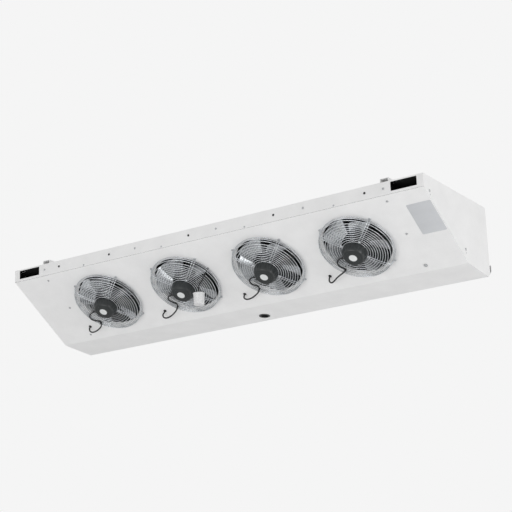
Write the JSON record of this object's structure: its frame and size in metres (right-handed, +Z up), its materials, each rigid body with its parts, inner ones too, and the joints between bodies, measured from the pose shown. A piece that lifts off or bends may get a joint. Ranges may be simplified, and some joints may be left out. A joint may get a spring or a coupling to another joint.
{
  "type": "walk-in unit cooler",
  "caption": "Ceiling-hung slim unit cooler: slanted fan panel with guarded axial fans, drip tray, upright finned coil and hanging rails.",
  "frame": {"origin": "centre of the four hanger holes, on the ceiling plane at the top of the hanging rails", "axes": "+X along the unit towards the electrical end, +Z up into the ceiling, -Y towards the front strip that the fans face"},
  "size_m": [1.9052, 0.5216, 0.2931],
  "materials": {
    "casing_paint": "smooth white polyester powder coat, low gloss",
    "galvanised_sheet": "plain galvanised sheet",
    "fin_aluminium": "bare thin fin stock",
    "copper_tube": "drawn copper tube, lightly tarnished",
    "brass_body": "turned brass",
    "heater_steel": "satin stainless heater sheath",
    "grey_plastic": "moulded grey plastic",
    "black_plastic": "moulded black plastic",
    "black_rubber": "soft black rubber",
    "cable_jacket": "smooth black cable sheath",
    "white_plastic": "thin white moulded plastic",
    "plate_grey": "satin grey foil plate, blank",
    "zinc_steel": "bright zinc-plated steel",
    "guard_wire": "bright plated steel wire",
    "motor_black": "black enamelled motor housing",
    "blade_aluminium": "bright rolled aluminium sheet"
  },
  "bodies": {
    "cabinet": {"top_casing": "casing_paint", "front_strip": "casing_paint", "tray_ends": "casing_paint", "fan_panel_tray": "casing_paint", "end_cover_left": "casing_paint", "end_cover_right": "casing_paint", "partition_left": "galvanised_sheet", "partition_right": "galvanised_sheet", "fan_baffle_1": "galvanised_sheet", "fan_baffle_2": "galvanised_sheet", "fan_baffle_3": "galvanised_sheet", "coil_fins": "fin_aluminium", "coil_tubes": "copper_tube", "suction_header": "copper_tube", "feeder_tubes": "copper_tube", "liquid_line": "copper_tube", "distributor": "brass_body", "coil_heater": "heater_steel", "tray_heater": "heater_steel", "terminal_box": "grey_plastic", "terminal_box_lid": "grey_plastic", "terminal_block": "grey_plastic", "cable_glands": "black_plastic", "hanging_rail_left": "casing_paint", "hanging_rail_right": "casing_paint", "drain_bush": "black_plastic", "drain_nut": "black_plastic", "cable_ties": "black_plastic", "cable_grommets": "black_rubber", "probe_grommet": "black_rubber", "probe_cable": "cable_jacket", "temperature_probe": "black_rubber", "probe_cup": "white_plastic", "rating_plate": "plate_grey", "strip_screws": "zinc_steel", "fold_screws": "zinc_steel", "panel_screws": "zinc_steel", "cover_screws": "zinc_steel", "guard_screws": "zinc_steel", "motor_screws": "zinc_steel", "rail_bolts": "zinc_steel", "guard_1": "guard_wire", "motor_1": "motor_black", "motor_cable_1": "cable_jacket", "guard_2": "guard_wire", "motor_2": "motor_black", "motor_cable_2": "cable_jacket", "guard_3": "guard_wire", "motor_3": "motor_black", "motor_cable_3": "cable_jacket", "guard_4": "guard_wire", "motor_4": "motor_black", "motor_cable_4": "cable_jacket"},
    "fan_1": {"impeller_1": "blade_aluminium"},
    "fan_2": {"impeller_2": "blade_aluminium"},
    "fan_3": {"impeller_3": "blade_aluminium"},
    "fan_4": {"impeller_4": "blade_aluminium"}
  },
  "joints": [
    {"name": "fan_1_spin", "type": "hinge", "parent": "cabinet", "child": "fan_1", "pos_m": [-0.5835, -0.08954, -0.17286], "axis": [0, -0.5446, -0.8387], "continuous": true},
    {"name": "fan_2_spin", "type": "hinge", "parent": "cabinet", "child": "fan_2", "pos_m": [-0.1945, -0.08954, -0.17286], "axis": [0, -0.5446, -0.8387], "continuous": true},
    {"name": "fan_3_spin", "type": "hinge", "parent": "cabinet", "child": "fan_3", "pos_m": [0.1945, -0.08954, -0.17286], "axis": [0, -0.5446, -0.8387], "continuous": true},
    {"name": "fan_4_spin", "type": "hinge", "parent": "cabinet", "child": "fan_4", "pos_m": [0.5835, -0.08954, -0.17286], "axis": [0, -0.5446, -0.8387], "continuous": true}
  ]
}
